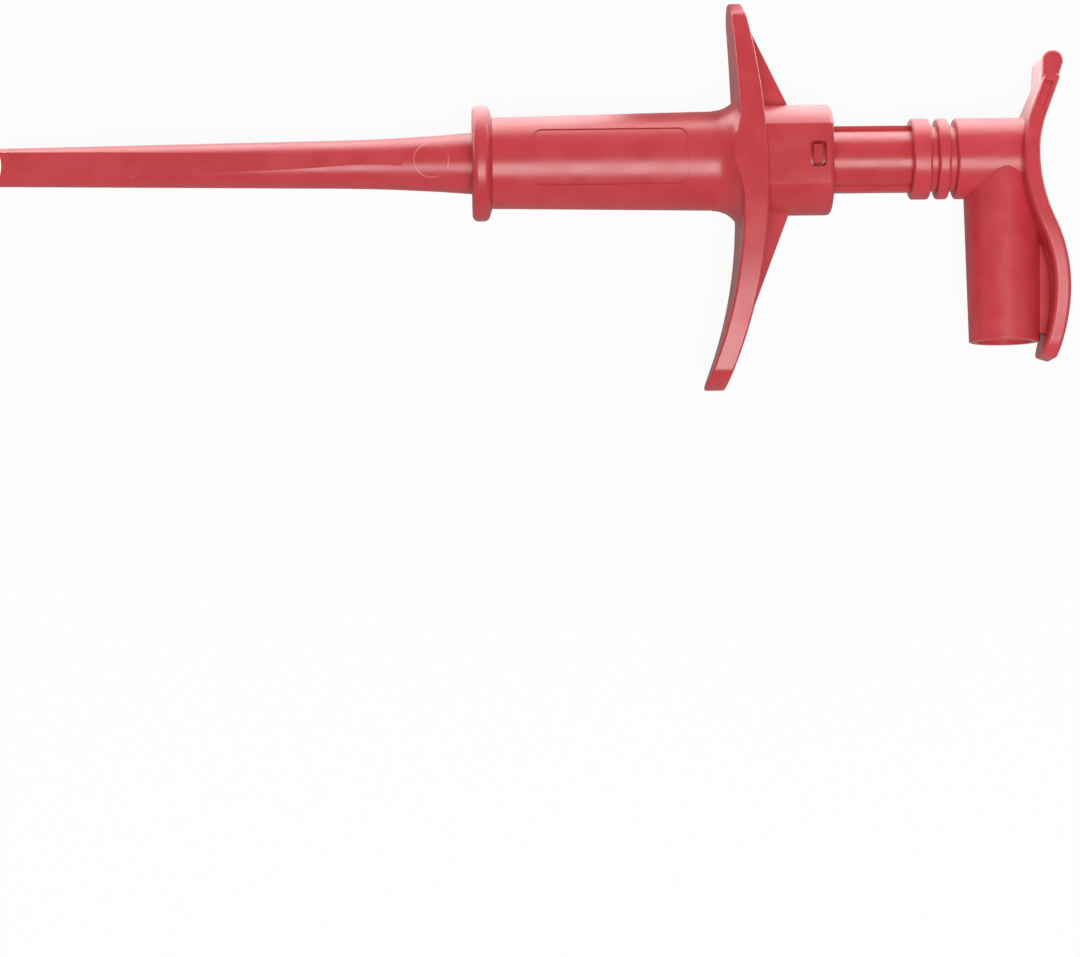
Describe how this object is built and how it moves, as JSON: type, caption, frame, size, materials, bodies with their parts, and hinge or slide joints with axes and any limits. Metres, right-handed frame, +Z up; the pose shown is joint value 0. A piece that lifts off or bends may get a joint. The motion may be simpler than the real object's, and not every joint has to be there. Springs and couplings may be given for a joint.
{
  "type": "grabber test clip",
  "caption": "Insulated plunger-type grabber clip: pressing the thumb plate pushes two spring-loaded hook jaws out of a long nose; a side socket takes a test lead.",
  "frame": {"origin": "on the barrel axis at the front of the nose tip", "axes": "+X along the barrel from the nose tip to the thumb plate, -Y the way the lead socket opens, +Z up with the clip lying on its side"},
  "size_m": [0.1593, 0.0583, 0.0174],
  "materials": {
    "red_housing_plastic": "fine spark-eroded grain",
    "red_shaft_plastic": "smooth, slightly glossy",
    "nickel_contact": "nickel-plated brass",
    "spring_steel": "bright drawn steel",
    "clear_sleeve": "natural slippery plastic"
  },
  "bodies": {
    "body": {"housing": "red_housing_plastic", "guide_bush": "red_housing_plastic", "spring_washer": "spring_steel", "return_spring": "spring_steel"},
    "plunger": {"plunger_shaft": "red_shaft_plastic", "handle": "red_housing_plastic", "contact_rod": "nickel_contact", "rod_sleeve": "clear_sleeve", "jaw_fork": "nickel_contact", "jaw_rivet": "spring_steel", "jaw_spring": "spring_steel", "rod_terminal": "nickel_contact", "socket_contact": "nickel_contact", "contact_screw": "spring_steel"},
    "upper_jaw": {"upper_jaw": "spring_steel"},
    "lower_jaw": {"lower_jaw": "spring_steel"}
  },
  "joints": [
    {"name": "plunger_slide", "type": "slide", "parent": "body", "child": "plunger", "axis": [-1, 0, 0], "range_m": [0, 0.0115], "stiffness_N_per_m": 400, "springref_m": -0.01, "deforming": ["return_spring"]},
    {"name": "upper_jaw_hinge", "type": "hinge", "parent": "plunger", "child": "upper_jaw", "pos_m": [0.0143, 0, 0], "axis": [0, 0, -1], "range_deg": [0, 8]},
    {"name": "lower_jaw_hinge", "type": "hinge", "parent": "plunger", "child": "lower_jaw", "pos_m": [0.0143, 0, 0], "axis": [0, 0, 1], "range_deg": [0, 8]}
  ],
  "couplings": [
    {"joint": "upper_jaw_hinge", "follows": "plunger_slide", "rad_per_m": 12.14},
    {"joint": "lower_jaw_hinge", "follows": "plunger_slide", "rad_per_m": 12.14}
  ]
}
